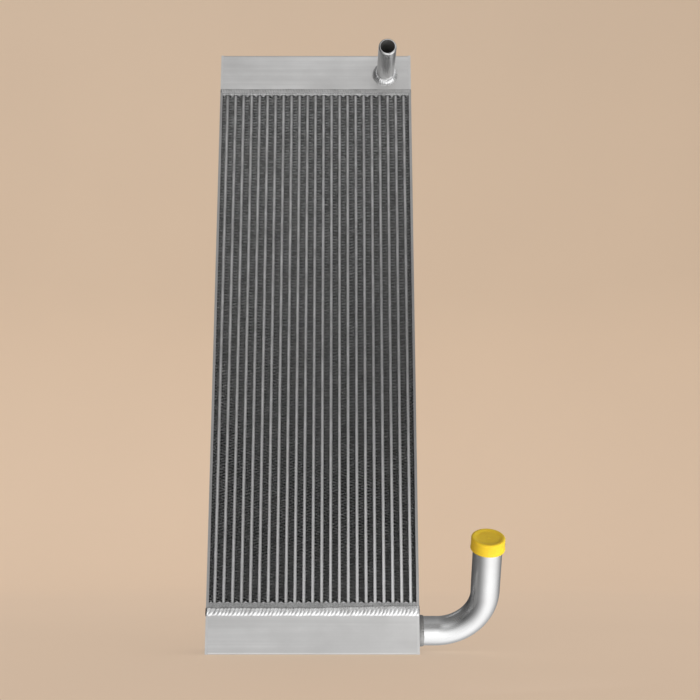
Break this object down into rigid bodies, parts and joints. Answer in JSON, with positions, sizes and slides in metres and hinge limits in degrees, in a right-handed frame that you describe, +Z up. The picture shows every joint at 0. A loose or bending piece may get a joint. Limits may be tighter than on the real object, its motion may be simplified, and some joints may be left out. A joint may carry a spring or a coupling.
{
  "type": "hydraulic oil cooler",
  "caption": "Tall bar-and-plate hydraulic oil cooler with finned core, welded box tanks, straight front spigot, bent side pipe and pull-off dust cap.",
  "frame": {"origin": "centre of the bottom tank's underside", "axes": "+Z up along the oil passages, +X to the right seen from the front, -Y towards the front, where the spigot stands out"},
  "size_m": [0.4329, 0.19, 0.942],
  "materials": {
    "tank_sheet": "mill finish, rolled",
    "core_bar": "as brazed, satin",
    "fin_sheet": "as brazed, matt",
    "side_plate": "mill finish",
    "pipe": "drawn tube, satin",
    "weld": "rippled weld bead",
    "cap_plastic": "soft satin"
  },
  "bodies": {
    "cooler": {"oil_tube_01": "core_bar", "oil_tube_02": "core_bar", "oil_tube_03": "core_bar", "oil_tube_04": "core_bar", "oil_tube_05": "core_bar", "oil_tube_06": "core_bar", "oil_tube_07": "core_bar", "oil_tube_08": "core_bar", "oil_tube_09": "core_bar", "oil_tube_10": "core_bar", "oil_tube_11": "core_bar", "oil_tube_12": "core_bar", "oil_tube_13": "core_bar", "oil_tube_14": "core_bar", "oil_tube_15": "core_bar", "oil_tube_16": "core_bar", "oil_tube_17": "core_bar", "oil_tube_18": "core_bar", "oil_tube_19": "core_bar", "oil_tube_20": "core_bar", "oil_tube_21": "core_bar", "oil_tube_22": "core_bar", "oil_tube_23": "core_bar", "air_fin_01": "fin_sheet", "air_fin_02": "fin_sheet", "air_fin_03": "fin_sheet", "air_fin_04": "fin_sheet", "air_fin_05": "fin_sheet", "air_fin_06": "fin_sheet", "air_fin_07": "fin_sheet", "air_fin_08": "fin_sheet", "air_fin_09": "fin_sheet", "air_fin_10": "fin_sheet", "air_fin_11": "fin_sheet", "air_fin_12": "fin_sheet", "air_fin_13": "fin_sheet", "air_fin_14": "fin_sheet", "air_fin_15": "fin_sheet", "air_fin_16": "fin_sheet", "air_fin_17": "fin_sheet", "air_fin_18": "fin_sheet", "air_fin_19": "fin_sheet", "air_fin_20": "fin_sheet", "air_fin_21": "fin_sheet", "air_fin_22": "fin_sheet", "air_fin_23": "fin_sheet", "air_fin_24": "fin_sheet", "end_bars_bottom": "core_bar", "end_bars_top": "core_bar", "side_plate_left": "side_plate", "side_plate_right": "side_plate", "tank_bottom": "tank_sheet", "tank_top": "tank_sheet", "tank_end_bottom_left": "tank_sheet", "tank_end_bottom_right": "tank_sheet", "tank_end_top_left": "tank_sheet", "tank_end_top_right": "tank_sheet", "top_spigot": "pipe", "bent_pipe": "pipe"},
    "dust_cap": {"dust_cap": "cap_plastic"}
  },
  "joints": [
    {"name": "cap_pull", "type": "slide", "parent": "cooler", "child": "dust_cap", "axis": [0, -0.5446, 0.8387], "range_m": [0, 0.045]}
  ]
}
